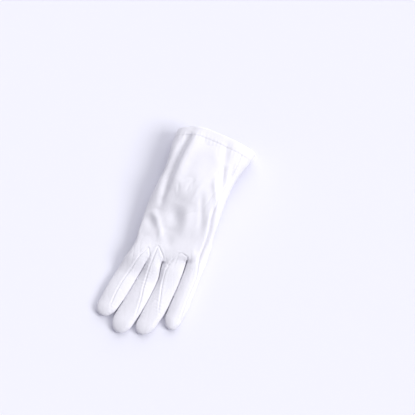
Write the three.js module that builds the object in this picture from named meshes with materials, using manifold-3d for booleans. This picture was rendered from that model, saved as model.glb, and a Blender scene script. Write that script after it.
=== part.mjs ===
// A white cotton dress glove for the left hand, lying by itself with its back up and its thumb folded
// under the palm. Millimetres, +Z up. The fingers point towards -Y, the cuff opens towards +Y and the
// thumb side is at -X. The origin is the middle of the footprint, on the surface the glove lies on.
import * as THREE from "three";
import { mergeVertices } from "three/addons/utils/BufferGeometryUtils.js";
import Module from "manifold-3d";

const wasm = await Module();
wasm.setup();

// Driving dimensions
const CLOTH = 1.2; // thickness of the cotton jersey wall
const SEAM_GAP = 0.3; // slit between two sewn pieces
const HEM_WIDTH = 11; // the cuff's folded hem
const HEM_PROUD = 0.35; // how far the folded hem stands out of the cloth beside it
const HEM_THICK = 1.9;
const CUFF_Y = 118.5; // the cuff's edge at the middle of the back
const CUFF_DROP_THUMB = 11.5; // the cuff's edge is cut back at its two sides
const CUFF_DROP_LITTLE = 2;
const FRONT_Y = -34.5; // the webs between the thumb side's fingers
const FRONT_SLANT = 0.52; // the web beside the little finger lies nearer the wrist
const FRONT_SLANT_FROM = -4;
const NOSE = 9; // length over which the hand's front end rounds off
const WEB = 2.5; // extra thickness of the gathered cloth at the webs
const THUMB_LIFT = 9.0; // the palm passes over the folded thumb at this height

// Mesh density
const TOLERANCE = 0.02; // cuts closer together than this run into one
const TOP_STEPS = 20;
const UNDER_STEPS = 8;
const HAND_STATIONS = 21;
const FINGER_SIDES = 12;
const FINGER_STATIONS = 9;
const REGION_STATIONS = 12;
const STRIP_STATIONS = 7;

// Sections of the hand: both side edges, the crown of the back, and the height of each side edge
const HAND = [
  { y: 127, left: -43.6, right: 45.6, crown: 31.5, leftZ: 17.0, rightZ: 16.0 },
  { y: 104, left: -43.4, right: 41.2, crown: 33.5, leftZ: 17.0, rightZ: 16.0 },
  { y: 92, left: -42.6, right: 38.0, crown: 34.6, leftZ: 17.0, rightZ: 16.0 },
  { y: 77, left: -40.5, right: 35.7, crown: 35.0, leftZ: 17.0, rightZ: 15.5 },
  { y: 60, left: -39.0, right: 35.5, crown: 34.6, leftZ: 17.0, rightZ: 14.5 },
  { y: 45, left: -39.8, right: 36.3, crown: 33.0, leftZ: 17.0, rightZ: 13.5 },
  { y: 30, left: -40.4, right: 37.8, crown: 29.0, leftZ: 16.5, rightZ: 12.0 },
  { y: 15, left: -40.2, right: 39.3, crown: 24.2, leftZ: 15.5, rightZ: 10.0 },
  { y: 0, left: -38.7, right: 41.0, crown: 20.6, leftZ: 15.0, rightZ: 8.6 },
  { y: -15, left: -37.4, right: 42.2, crown: 18.8, leftZ: 14.4, rightZ: 7.6 },
  { y: -30, left: -37.2, right: 42.4, crown: 17.8, leftZ: 13.8, rightZ: 6.8 },
];

// Folds of the back, as valleys (depth above 0) and ridges (below 0) along a path in plan
const FOLDS = [
  { name: "thumb side valley", half: 4.6, depth: 5.0, path: [[-29, 99], [-30, 86], [-30.3, 70]] },
  { name: "thumb side valley, low", half: 4.4, depth: 4.6, path: [[-30, 57], [-29.5, 42], [-27.5, 22]] },
  { name: "wrist crest", half: 6.0, depth: -2.2, path: [[-21, 106], [-23, 80], [-22, 50]] },
  { name: "little finger side crease", half: 3.0, depth: 3.6, path: [[28, 48], [33, 18], [34.4, 0], [38, -25]] },
  { name: "hollow of the back", half: 10.0, depth: 3.4, path: [[-6.5, 24], [-6, 12]] },
  { name: "cuff dent", half: 7.0, depth: 2.2, path: [[14, 108], [19, 88]] },
  { name: "wrist crease", half: 2.8, depth: 2.4, path: [[22.6, 84], [26.4, 66]] },
  { name: "wrist hollow", half: 6.5, depth: 1.8, path: [[-1.7, 90], [0.5, 52]] },
  { name: "thumb root ridge", half: 4.0, depth: -1.8, path: [[-36, 12], [-23, 6], [-9, -14]] },
];

// Sections of each finger from inside the hand to where its tip starts to close, then the tip itself
const FINGERS = {
  index: {
    rows: [
      { y: -10, x: -25.2, half: 9.0, high: 9.0 },
      { y: -33, x: -26.5, half: 10.8, high: 10.4 },
      { y: -58, x: -29.8, half: 11.2, high: 10.6 },
      { y: -78, x: -32.4, half: 11.7, high: 10.6 },
      { y: -96, x: -35.0, half: 10.3, high: 9.6 },
    ],
    tip: { y: -110, x: -37.0 },
  },
  middle: {
    rows: [
      { y: -10, x: -8.6, half: 6.2, high: 9.0 },
      { y: -33, x: -8.0, half: 6.8, high: 10.4 },
      { y: -50, x: -7.1, half: 9.6, high: 10.8 },
      { y: -78, x: -9.2, half: 11.0, high: 11.0 },
      { y: -104, x: -12.6, half: 10.6, high: 10.0 },
    ],
    tip: { y: -120, x: -13.9 },
  },
  ring: {
    rows: [
      { y: -6, x: 11.0, half: 8.5, high: 15.5 },
      { y: -33, x: 12.2, half: 11.7, high: 14.2 },
      { y: -52, x: 14.4, half: 10.5, high: 11.6 },
      { y: -80, x: 13.3, half: 10.7, high: 10.4 },
      { y: -97, x: 11.7, half: 9.6, high: 9.8 },
    ],
    tip: { y: -112, x: 9.0 },
  },
  little: {
    rows: [
      { y: 8, x: 31.3, half: 9.0, high: 13.0 },
      { y: -12, x: 33.0, half: 9.3, high: 13.6 },
      { y: -30, x: 34.0, half: 8.9, high: 11.6 },
      { y: -50, x: 35.1, half: 9.0, high: 10.2 },
      { y: -70, x: 35.8, half: 9.3, high: 10.0 },
      { y: -82, x: 35.5, half: 8.2, high: 9.4 },
    ],
    tip: { y: -94.5, x: 36.2 },
  },
};

// The thumb, folded flat under the palm
const THUMB = {
  rows: [
    { y: 56, x: -23.0, half: 10.5, high: 8.0 },
    { y: 30, x: -25.0, half: 12.2, high: 8.1 },
    { y: 5, x: -26.0, half: 12.0, high: 8.0 },
    { y: -14, x: -25.5, half: 10.8, high: 7.6 },
  ],
  tip: { y: -27, x: -25.0 },
};
const THUMB_SEAM = { topY: 27, floorY: 44, high: 11 }; // slanting plane of the seam round the thumb's root

// The seam between back and palm on the little finger's side, seen from above
const SIDE_SEAM = [
  { y: 130, x: 31.0 },
  { y: 83, x: 31.2 },
  { y: 57, x: 28.6 },
  { y: 35, x: 29.8 },
  { y: 5, x: 34.4 },
  { y: -14, x: 35.2 },
  { y: -31, x: 39.6 },
  { y: -45, x: 40.2 },
  { y: -60, x: 41.0 },
  { y: -80, x: 42.4 },
  { y: -130, x: 43.0 },
];

// The strips of cloth between the fingers. Each runs from a seam on top of one finger, seen from above, down
// its side, across the web and up the side of the next finger. Its pointed end reaches a distance from the web
// into the back of the hand.
const STRIPS = [
  {
    name: "fourchette_index_middle",
    from: "index",
    to: "middle",
    notch: 10.5,
    seam: [
      { y: -20, x: -18.2 },
      { y: -28, x: -21.6 },
      { y: -37, x: -24.9 },
      { y: -54, x: -28.4 },
      { y: -74, x: -31.8 },
      { y: -102, x: -32.4 },
    ],
  },
  {
    name: "fourchette_middle_ring",
    from: "middle",
    to: "ring",
    notch: 13,
    seam: [
      { y: -15, x: -10.9 },
      { y: -30, x: -10.6 },
      { y: -41, x: -10.3 },
      { y: -53, x: -9.2 },
      { y: -67, x: -7.2 },
      { y: -77, x: -5.0 },
      { y: -102, x: -2.2 },
    ],
  },
  {
    name: "fourchette_ring_little",
    from: "ring",
    to: "little",
    notch: 5,
    seam: [
      { y: -14, x: 16.2 },
      { y: -19, x: 12.2 },
      { y: -24, x: 9.5 },
      { y: -31, x: 7.6 },
      { y: -41, x: 7.2 },
      { y: -51, x: 8.9 },
      { y: -62, x: 11.8 },
      { y: -73, x: 15.2 },
      { y: -90, x: 20.0 },
    ],
  },
];
const NOTCH_LOW = 8; // height above which the pointed ends lie
const STRIP_UNDER = 48; // degrees below level of the strip's lower edge, on both fingers
const STRIP_FAR_TOP = 32; // degrees above level of its upper edge on the far finger
const STRIP_END = 0.86; // the strips run out at this share of the shorter finger's length

const smooth = (t) => {
  const c = Math.min(1, Math.max(0, t));
  return c * c * (3 - 2 * c);
};
const ramp = (from, to, value) => smooth((value - from) / (to - from));
const mix = (a, b, t) => a + (b - a) * t;
const radians = THREE.MathUtils.degToRad;

// Reads a table sorted by falling y at any y, with a smooth curve through its rows.
function rowAt(rows, y) {
  const falling = rows[0].y > rows[1].y;
  const order = falling ? rows : [...rows].reverse();
  const last = order.length - 1;
  let i = 0;
  while (i < last - 1 && y < order[i + 1].y) i += 1;
  const t = Math.min(1, Math.max(0, (order[i].y - y) / (order[i].y - order[i + 1].y)));
  const before = order[Math.max(0, i - 1)];
  const after = order[Math.min(last, i + 2)];
  const value = {};
  for (const key of Object.keys(order[i])) {
    const slopeIn = (order[i + 1][key] - before[key]) / (before.y - order[i + 1].y);
    const slopeOut = (after[key] - order[i][key]) / (order[i].y - after.y);
    const span = order[i].y - order[i + 1].y;
    const t2 = t * t;
    const t3 = t2 * t;
    value[key] =
      (2 * t3 - 3 * t2 + 1) * order[i][key] +
      (t3 - 2 * t2 + t) * slopeIn * span +
      (3 * t2 - 2 * t3) * order[i + 1][key] +
      (t3 - t2) * slopeOut * span;
  }
  value.y = y;
  return value;
}

// Height at which the glove's underside lies: on the floor, or over the folded thumb.
function underside(x, y) {
  const across = 1 - ramp(-12, 6, x);
  const overRoot = 1 - ramp(22, 46, y);
  const pastTip = ramp(-60, -30, y);
  return THUMB_LIFT * across * overRoot * pastTip;
}

// Distance in plan from a point to a path.
function distanceTo(path, x, y) {
  let nearest = Infinity;
  for (let i = 0; i < path.length - 1; i += 1) {
    const [ax, ay] = path[i];
    const [bx, by] = path[i + 1];
    const long = (bx - ax) ** 2 + (by - ay) ** 2;
    const t = Math.min(1, Math.max(0, ((x - ax) * (bx - ax) + (y - ay) * (by - ay)) / long));
    nearest = Math.min(nearest, Math.hypot(x - mix(ax, bx, t), y - mix(ay, by, t)));
  }
  return nearest;
}

// How deep the folds press the back in at a point in plan.
function foldDepth(x, y) {
  let depth = 0;
  for (const fold of FOLDS) depth += fold.depth * Math.exp(-((distanceTo(fold.path, x, y) / fold.half) ** 2));
  return depth;
}

// Plan shift of a station of the hand: the cuff's edge drops at its sides and the front end slants.
function stationY(y, x) {
  const atCuff = ramp(60, CUFF_Y, y);
  const side = x < 0 ? CUFF_DROP_THUMB : CUFF_DROP_LITTLE;
  const drop = side * (Math.abs(x) / 44) ** 3;
  const atFront = 1 - ramp(FRONT_Y, 20, y);
  const slant = FRONT_SLANT * Math.max(0, x - FRONT_SLANT_FROM);
  return y - drop * atCuff + slant * atFront;
}

// A point of the hand's outside: y is the station and angle runs from the little finger's side over the
// back to the thumb side and then under the palm.
function handPoint(y, angle, front) {
  const row = rowAt(HAND, Math.min(HAND[0].y, y));
  const across = Math.cos(angle);
  const up = Math.sin(angle);
  const nose = Math.min(0.96, Math.max(0, (front + NOSE - y) / NOSE));
  const shrink = Math.sqrt(1 - nose ** 2);
  const middle = (row.left + row.right) / 2;
  const half = ((row.right - row.left) / 2) * mix(0.93, 1, shrink);
  let x = middle + half * across;
  const planY = stationY(y, x);
  const floor = underside(x, planY);
  const edge = mix(row.leftZ, row.rightZ, smooth((x - row.left) / (row.right - row.left)));
  let z;
  if (up >= 0) {
    const press = foldDepth(x, planY) * smooth(up / 0.35) * shrink;
    z = edge + (row.crown - edge) * up ** 0.75 * shrink - press * Math.max(0.35, up);
    x -= press * 0.6 * across;
  } else {
    z = Math.max(floor, edge - (edge - floor + 2.5) * Math.abs(up) ** 0.6 * shrink);
  }
  return new THREE.Vector3(x, planY, z);
}

// A finger's or the thumb's section at a station, where its tip rounds off past its last row.
function fingerSection(finger, y) {
  const last = finger.rows[finger.rows.length - 1];
  const section = rowAt(finger.rows, Math.max(last.y, y));
  const past = Math.min(0.985, Math.max(0, (last.y - y) / (last.y - finger.tip.y)));
  const shrink = Math.sqrt(1 - past ** 2);
  return {
    y,
    x: mix(section.x, finger.tip.x, past),
    half: section.half * shrink,
    high: section.high * mix(0.34, 1, shrink),
    floor: (finger === THUMB ? 0 : underside(section.x, y)) + (1 - shrink) * 1.2,
  };
}

// A point of a finger's outside, round its section.
function fingerPoint(finger, y, angle) {
  const s = fingerSection(finger, y);
  const up = Math.sin(angle);
  const middle = s.floor + s.high * 0.46;
  const z =
    up >= 0
      ? middle + (s.floor + s.high - middle) * up ** 0.85
      : Math.max(s.floor, middle - (middle - s.floor + 1.6) * Math.abs(up) ** 0.7);
  return new THREE.Vector3(s.x + s.half * Math.cos(angle), y, z);
}

// A surface moved out along its own normal.
function offsetPoint(surface, y, angle, out) {
  const here = surface(y, angle);
  if (out === 0) return here;
  const step = 0.4;
  const turn = 0.03;
  const along = surface(y - step, angle).sub(surface(y + step, angle));
  const round = surface(y, angle + turn).sub(surface(y, angle - turn));
  return here.add(round.cross(along).normalize().multiplyScalar(out));
}

// A closed solid through rings of points, from +Y to -Y or from -X to +X. Seen along the way, each ring
// starts on its left side and runs up and over to its right. Each end closes as a fan round the middle of
// the ring's points, or of those whose numbers are given.
function loft(rings, middleOf = rings[0].map((_, side) => side)) {
  const sides = rings[0].length;
  const points = rings.flat();
  const faces = [];
  const at = (ring, side) => ring * sides + (side % sides);
  for (let r = 0; r < rings.length - 1; r += 1) {
    for (let s = 0; s < sides; s += 1) {
      faces.push(at(r, s), at(r, s + 1), at(r + 1, s));
      faces.push(at(r, s + 1), at(r + 1, s + 1), at(r + 1, s));
    }
  }
  for (const r of [0, rings.length - 1]) {
    const centre = new THREE.Vector3();
    for (const side of middleOf) centre.addScaledVector(rings[r][side], 1 / middleOf.length);
    points.push(centre);
    for (let s = 0; s < sides; s += 1) {
      const pair = r === 0 ? [at(r, s + 1), at(r, s)] : [at(r, s), at(r, s + 1)];
      faces.push(points.length - 1, ...pair);
    }
  }
  const vertProperties = new Float32Array(points.flatMap((p) => [p.x, p.y, p.z]));
  const triVerts = new Uint32Array(faces);
  return new wasm.Manifold(new wasm.Mesh({ numProp: 3, vertProperties, triVerts, tolerance: TOLERANCE }));
}

const steps = (count, from, to) => Array.from({ length: count + 1 }, (_, i) => mix(from, to, i / count));

const HAND_ANGLES = [
  ...steps(TOP_STEPS, 0, Math.PI).slice(0, -1),
  ...steps(UNDER_STEPS, Math.PI, 2 * Math.PI).slice(0, -1),
];

// The hand without its fingers from one station to its front end, its surface moved out by a distance.
function handSolid(out, from, front) {
  const body = steps(HAND_STATIONS - 4, from, front + NOSE);
  const nose = [0.35, 0.62, 0.82, 0.95].map((q) => front + NOSE * (1 - q));
  const surface = (y, angle) => handPoint(y, angle, front);
  return loft([...body, ...nose].map((y) => HAND_ANGLES.map((angle) => offsetPoint(surface, y, angle, out))));
}

// A stretch of the cuff as a solid, its surface moved out by a distance but never below the floor.
function cuffSolid(out, from, to) {
  const surface = (y, angle) => handPoint(y, angle, FRONT_Y);
  const aboveFloor = (p) => p.setZ(Math.max(0, p.z));
  return loft(
    steps(5, from, to).map((y) => HAND_ANGLES.map((angle) => aboveFloor(offsetPoint(surface, y, angle, out)))),
  );
}

// All that lies on the cuff's side of a station, whose edge curves in plan.
function beyondStation(station) {
  return loft(
    steps(24, -60, 60).map((x) => {
      const edge = stationY(station, x);
      return [[150, -5], [150, 60], [edge, 60], [edge, -5]].map(([y, z]) => new THREE.Vector3(x, y, z));
    }),
  );
}

// A finger or the thumb, its surface moved out by a distance.
function fingerSolid(finger, out) {
  const last = finger.rows[finger.rows.length - 1].y;
  const body = steps(FINGER_STATIONS - 4, finger.rows[0].y, last);
  const tip = [0.35, 0.62, 0.84, 0.97].map((q) => mix(last, finger.tip.y, q));
  const angles = steps(FINGER_SIDES, 0, 2 * Math.PI).slice(0, -1);
  const surface = (y, angle) => fingerPoint(finger, y, angle);
  return loft([...body, ...tip].map((y) => angles.map((angle) => offsetPoint(surface, y, angle, out))));
}

// All that lies on the thumb's side of the slanting seam plane, moved towards the cuff by a distance.
function thumbSide(out) {
  const low = THUMB_SEAM.floorY + out;
  const top = THUMB_SEAM.topY + out;
  const high = THUMB_SEAM.high;
  const side = (y0, y1) =>
    [[-60, y0, -5], [10, y0, -5], [10, y1, high], [-60, y1, high]].map((p) => new THREE.Vector3(...p));
  const slope = (low - top) / high;
  return loft([side(low + 5 * slope, top), side(-60, -60)]);
}

// Everything that belongs to the back of the glove, its boundary moved out by a distance: above the
// side edges' height, and on the thumb side of the side seam.
function backRegion(out) {
  const ys = steps(REGION_STATIONS, 140, -140);
  return loft(
    ys.map((y) => {
      const seam = rowAt(SIDE_SEAM, Math.max(-130, Math.min(130, y))).x + out;
      const hand = rowAt(HAND, Math.max(-30, Math.min(125, y)));
      const onFingers = ramp(-25, -60, y);
      const leftZ = mix(hand.leftZ, 4.8, onFingers) - out;
      const rightZ = mix(8.5, 4.8, onFingers) - out;
      const middleZ = mix(leftZ, rightZ, 0.5);
      const points = [[seam, rightZ], [seam, 90], [-90, 90], [-90, leftZ], [-20, leftZ], [0, middleZ]];
      return points.map(([x, z]) => new THREE.Vector3(x, y, z));
    }),
  );
}

// The room between two fingers' middles that their strip of cloth lines, its edges moved out by a distance:
// the gap between the fingers, and the notch that it reaches into the back of the hand.
function stripRegion(strip, out) {
  const near = FINGERS[strip.from];
  const far = FINGERS[strip.to];
  const webX = (fingerSection(near, FRONT_Y).x + fingerSection(far, FRONT_Y).x) / 2;
  const web = stationY(FRONT_Y, webX);
  const end = mix(web, Math.max(near.tip.y, far.tip.y), STRIP_END);
  const top = 60;
  const base = -3;
  const next = STRIPS.find((other) => other.from === strip.to);
  const edges = (y) => {
    const a = fingerSection(near, y);
    const b = fingerSection(far, y);
    const farX = next ? Math.min(b.x, rowAt(next.seam, y).x - 0.6) : b.x;
    const closing = ramp(end, end + 9, y);
    const seam = mix(a.x + 0.8 * a.half, rowAt(strip.seam, y).x, closing) - out;
    return { a, b, closing, seam, farX, valley: (a.x + a.half + b.x - b.half) / 2 };
  };
  const ring = (y, i) => {
    const { a, b, closing, seam, farX, valley } = edges(y);
    const middleA = a.floor + a.high * 0.46;
    const middleB = b.floor + b.high * 0.46;
    const lower = Math.tan(radians(mix(22, STRIP_UNDER, closing)));
    const upper = Math.tan(radians(mix(20, STRIP_FAR_TOP, closing)));
    const underNear = Math.min(valley - 0.2, a.x + (middleA - base) / lower) - out;
    const underFar = Math.max(valley + 0.2, b.x - (middleB - base) / lower) + out;
    const farTop = middleB + (b.x - valley - out) * upper + out;
    const points = [
      [underFar, base],
      [farX + out, middleB],
      [valley + out, farTop],
      [valley + out, top],
      [seam, top],
      [seam, middleA],
      [underNear, base],
    ];
    const moved = i === 0 ? y + out : i === STRIP_STATIONS ? y - out : y;
    return points.map(([x, z]) => new THREE.Vector3(x, moved, z));
  };
  const notchEnd = web - 2;
  const notchStart = web + strip.notch;
  const { seam, valley } = edges(notchEnd);
  const start = edges(notchStart).seam;
  const notch = [
    [notchStart + out, start, start + 2 * out + 0.4],
    [notchEnd, seam, valley + out],
  ].map(([y, x0, x1]) => [[x1, NOTCH_LOW - out], [x1, top], [x0, top], [x0, NOTCH_LOW - out]].map(([x, z]) => new THREE.Vector3(x, y, z)));
  return loft(steps(STRIP_STATIONS, web + 3.5, end).map(ring), [2, 5]).add(loft(notch));
}

// The largest closed body of a solid, without the crumbs that cutting can leave.
function mainBody(solid) {
  return solid.decompose().sort((a, b) => b.volume() - a.volume())[0];
}

const unite = (solids) => solids.reduce((a, b) => a.add(b));
const fingers = Object.values(FINGERS);
const thumbOutside = fingerSolid(THUMB, 0);
const outside = unite([handSolid(0, CUFF_Y, FRONT_Y), ...fingers.map((f) => fingerSolid(f, 0)), thumbOutside]);
const hollow = unite([
  handSolid(-CLOTH, CUFF_Y + 6, FRONT_Y + WEB),
  ...fingers.map((f) => fingerSolid(f, -CLOTH)),
  fingerSolid(THUMB, -CLOTH),
]);
const shell = outside.subtract(hollow);

// The hem takes the last stretch of the cuff, and the sewn panels end a slit before it.
const HEM_Y = CUFF_Y - HEM_WIDTH;
const hem = cuffSolid(HEM_PROUD, CUFF_Y, HEM_Y - 6)
  .subtract(cuffSolid(HEM_PROUD - HEM_THICK, CUFF_Y + 6, HEM_Y - 12))
  .intersect(beyondStation(HEM_Y));

// The thumb ends at its seam, and the palm keeps clear of it.
const thumb = shell.intersect(thumbOutside).intersect(thumbSide(-SEAM_GAP / 2));
const thumbRoom = fingerSolid(THUMB, SEAM_GAP).intersect(thumbSide(SEAM_GAP / 2));

// The strips between the fingers, then the back and the palm.
const strips = STRIPS.map((strip) => ({
  name: strip.name,
  solid: shell.intersect(stripRegion(strip, -SEAM_GAP / 2)),
}));
const panels = shell
  .subtract(beyondStation(HEM_Y - SEAM_GAP))
  .subtract(thumbRoom)
  .subtract(unite(STRIPS.map((strip) => stripRegion(strip, SEAM_GAP / 2))));
const back = panels.intersect(backRegion(-SEAM_GAP / 2));
const palm = panels.subtract(backRegion(SEAM_GAP / 2));

const COTTON = { roughness: 0.92, metalness: 0 };
const MATERIALS = {
  jersey: new THREE.MeshStandardMaterial({ color: 0xf4f3f6, ...COTTON }),
  strip: new THREE.MeshStandardMaterial({ color: 0xf7f6f8, ...COTTON }),
  hem: new THREE.MeshStandardMaterial({ color: 0xf8f7fa, ...COTTON }),
};

// A named mesh from a solid.
function meshOf(name, solid, material) {
  const made = mainBody(solid).getMesh();
  const geometry = new THREE.BufferGeometry();
  geometry.setAttribute("position", new THREE.BufferAttribute(new Float32Array(made.vertProperties), 3));
  geometry.setIndex(new THREE.BufferAttribute(new Uint32Array(made.triVerts), 1));
  const mesh = new THREE.Mesh(mergeVertices(geometry), material);
  mesh.name = name;
  return mesh;
}

const glove = new THREE.Group();
glove.add(
  meshOf("back_panel", back, MATERIALS.jersey),
  meshOf("palm_panel", palm, MATERIALS.jersey),
  ...strips.map((strip) => meshOf(strip.name, strip.solid, MATERIALS.strip)),
  meshOf("thumb", thumb, MATERIALS.jersey),
  meshOf("cuff_hem", hem, MATERIALS.hem),
);

// The footprint's middle goes to the origin.
const size = new THREE.Box3().setFromObject(glove);
const centre = size.getCenter(new THREE.Vector3());
glove.position.set(-centre.x, -centre.y, -size.min.z);

export default glove;
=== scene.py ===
# %% [markdown]
# # A white cotton dress glove
# The glove lies with its back up and its thumb folded under the palm. The solids of the frame give its
# true size and place. Here each of them is replaced by a fine piece of jersey cloth with its folds, seams
# and stitches.

# %% Load the frame
import math

import bpy
import numpy as np
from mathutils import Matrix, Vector, noise
from mathutils.kdtree import KDTree


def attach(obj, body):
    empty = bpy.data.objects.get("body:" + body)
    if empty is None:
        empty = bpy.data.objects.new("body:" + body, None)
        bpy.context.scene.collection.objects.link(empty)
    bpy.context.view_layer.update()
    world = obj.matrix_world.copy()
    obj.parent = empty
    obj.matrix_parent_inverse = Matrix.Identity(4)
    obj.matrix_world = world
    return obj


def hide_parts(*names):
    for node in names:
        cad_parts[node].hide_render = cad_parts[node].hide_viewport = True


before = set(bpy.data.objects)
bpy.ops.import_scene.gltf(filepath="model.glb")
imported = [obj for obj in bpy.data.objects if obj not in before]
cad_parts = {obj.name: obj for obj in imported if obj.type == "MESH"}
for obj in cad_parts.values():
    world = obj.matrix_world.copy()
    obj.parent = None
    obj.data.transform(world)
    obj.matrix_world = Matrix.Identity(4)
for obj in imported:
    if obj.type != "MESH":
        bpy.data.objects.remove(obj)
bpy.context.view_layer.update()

MM = 0.001
print("solids:", sorted(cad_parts))

# %% [markdown]
# ## Camera, floor and light
# The glove is photographed from almost straight above with a long lens. Its axis leans over because the
# camera stands to one side of it, so the camera turns round the glove and isn't rolled. One soft light
# comes from the right and throws the shadow beside the wrist. A still softer one comes from the cuff's
# side, so the hand darkens where it slopes down to the fingers. The pale lavender floor and surroundings
# fill the shadows.

# %% Camera
# Azimuths turn from the right and elevations rise from the floor, both in degrees
VIEW_AZIMUTH, VIEW_ELEVATION, VIEW_DISTANCE = -66, 78, 4.0
VIEW_WIDTH = 0.448
VIEW_TARGET = Vector((0.0199, 0.0435, 0.010))


def add_object(name, data):
    """A new object in the scene."""
    thing = bpy.data.objects.new(name, data)
    bpy.context.scene.collection.objects.link(thing)
    return thing


def aim(thing, azimuth, elevation, distance):
    """Places a camera or a light at a distance from the target, and turns it towards it."""
    turn, lift = math.radians(azimuth), math.radians(elevation)
    outwards = Vector((math.cos(turn) * math.cos(lift), math.sin(turn) * math.cos(lift), math.sin(lift)))
    thing.location = VIEW_TARGET + outwards * distance
    thing.rotation_mode = "QUATERNION"
    thing.rotation_quaternion = (-outwards).to_track_quat("-Z", "Y")


camera_data = bpy.data.cameras.new("camera")
camera_data.sensor_width = 36.0
camera_data.lens = camera_data.sensor_width * VIEW_DISTANCE / VIEW_WIDTH
camera_data.clip_start = 0.05
camera = add_object("camera", camera_data)
aim(camera, VIEW_AZIMUTH, VIEW_ELEVATION, VIEW_DISTANCE)
bpy.context.scene.camera = camera
print("camera lens in mm:", round(camera_data.lens, 1))


# %% Node helpers
def new_material(name):
    """A material with its Principled shader, ready for more nodes."""
    material = bpy.data.materials.new(name)
    material.use_nodes = True
    nodes = material.node_tree.nodes
    return material, nodes, material.node_tree.links, nodes["Principled BSDF"]


def put(nodes, kind, values=None, **settings):
    """Adds a node, sets its properties, and sets its input sockets by name or number."""
    node = nodes.new(kind)
    for key, value in settings.items():
        setattr(node, key, value)
    for key, value in (values or {}).items():
        node.inputs[key].default_value = value
    return node


def wire(links, *wires):
    """Links nodes: each wire has a node and its output, then a node and its input, by name or number."""
    for source, output, target, entry in wires:
        links.new(source.outputs[output], target.inputs[entry])


# %% Floor
FLOOR_COLOR = (0.785, 0.786, 0.866, 1.0)
FLOOR_REACH = 4.0

floor_material, nodes, links, shader = new_material("lavender paper")
paper_noise = put(nodes, "ShaderNodeTexNoise", {"Scale": 900.0, "Detail": 4.0})
paper_place = put(nodes, "ShaderNodeTexCoord")
paper_bump = put(nodes, "ShaderNodeBump", {"Strength": 0.05, "Distance": 0.0003})
wire(
    links, (paper_place, "Object", paper_noise, "Vector"), (paper_noise, "Fac", paper_bump, "Height"),
    (paper_bump, "Normal", shader, "Normal"),
)
shader.inputs["Base Color"].default_value = FLOOR_COLOR
shader.inputs["Roughness"].default_value = 0.85

floor_mesh = bpy.data.meshes.new("floor")
floor_mesh.from_pydata(
    [(-FLOOR_REACH, -FLOOR_REACH, 0), (FLOOR_REACH, -FLOOR_REACH, 0),
     (FLOOR_REACH, FLOOR_REACH, 0), (-FLOOR_REACH, FLOOR_REACH, 0)],
    [], [(0, 1, 2, 3)],
)
floor_mesh.materials.append(floor_material)
floor = add_object("floor", floor_mesh)
print("floor colour:", FLOOR_COLOR[:3])

# %% Lights
# Each light has an azimuth, an elevation, a softness in degrees and a power
LIGHTS = {"key light": (12, 40, 30, 2.0), "light from the cuff's side": (95, 42, 70, 1.8)}
SKY_COLOR, SKY_STRENGTH = (0.955, 0.945, 1.05, 1.0), 0.385

for name, (azimuth, elevation, softness, power) in LIGHTS.items():
    light_data = bpy.data.lights.new(name, "SUN")
    light_data.energy = power
    light_data.angle = math.radians(softness)
    aim(add_object(name, light_data), azimuth, elevation, 1.0)

world = bpy.data.worlds.new("studio")
world.use_nodes = True
world.node_tree.nodes["Background"].inputs["Color"].default_value = SKY_COLOR
world.node_tree.nodes["Background"].inputs["Strength"].default_value = SKY_STRENGTH
bpy.context.scene.world = world
bpy.context.scene.view_settings.view_transform = "Standard"
print("lights:", LIGHTS)

# %% [markdown]
# ## The glove's sections
# The body of a glove is a flattened tube for the hand, one for each finger and one for the thumb. Short
# tables hold their sections in millimetres, and a smooth curve runs through the rows of each table. They
# are the same tables from which the solids were made, so the cloth lies on the solids.

# %% Section tables
CUFF_Y, CUFF_DROP_THUMB, CUFF_DROP_LITTLE = 118.5, 11.5, 2.0  # the cuff's edge, cut back at its two sides
HEM_WIDTH = 11.0
FRONT_Y, FRONT_SLANT, FRONT_SLANT_FROM = -34.5, 0.52, -4.0  # the hand's front slants on one side
NOSE, NOSE_END = 9.0, 0.96  # length of its rounded end, and the share of it that the rings reach
THUMB_LIFT = 9.0  # height at which the palm passes over the folded thumb


def table(columns, *rows):
    """Rows of numbers as one array for each named column."""
    return dict(zip(columns.split(), np.array(rows, dtype=float).T))


HAND = table(
    "y left right crown left_z right_z",
    (127, -43.6, 45.6, 31.5, 17.0, 16.0),
    (104, -43.4, 41.2, 33.5, 17.0, 16.0),
    (92, -42.6, 38.0, 34.6, 17.0, 16.0),
    (77, -40.5, 35.7, 35.0, 17.0, 15.5),
    (60, -39.0, 35.5, 34.6, 17.0, 14.5),
    (45, -39.8, 36.3, 33.0, 17.0, 13.5),
    (30, -40.4, 37.8, 29.0, 16.5, 12.0),
    (15, -40.2, 39.3, 24.2, 15.5, 10.0),
    (0, -38.7, 41.0, 20.6, 15.0, 8.6),
    (-15, -37.4, 42.2, 18.8, 14.4, 7.6),
    (-30, -37.2, 42.4, 17.8, 13.8, 6.8),
)
INDEX = table(
    "y x half high",
    (-10, -25.2, 9.0, 9.0), (-33, -26.5, 10.8, 10.4), (-58, -29.8, 11.2, 10.6),
    (-78, -32.4, 11.7, 10.6), (-96, -35.0, 10.3, 9.6),
)
MIDDLE = table(
    "y x half high",
    (-10, -8.6, 6.2, 9.0), (-33, -8.0, 6.8, 10.4), (-50, -7.1, 9.6, 10.8),
    (-78, -9.2, 11.0, 11.0), (-104, -12.6, 10.6, 10.0),
)
RING = table(
    "y x half high",
    (-6, 11.0, 8.5, 15.5), (-33, 12.2, 11.7, 14.2), (-52, 14.4, 10.5, 11.6),
    (-80, 13.3, 10.7, 10.4), (-97, 11.7, 9.6, 9.8),
)
LITTLE = table(
    "y x half high",
    (8, 31.3, 9.0, 13.0), (-12, 33.0, 9.3, 13.6), (-30, 34.0, 8.9, 11.6),
    (-50, 35.1, 9.0, 10.2), (-70, 35.8, 9.3, 10.0), (-82, 35.5, 8.2, 9.4),
)
THUMB = table(
    "y x half high",
    (56, -23.0, 10.5, 8.0), (30, -25.0, 12.2, 8.1), (5, -26.0, 12.0, 8.0), (-14, -25.5, 10.8, 7.6),
)
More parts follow.
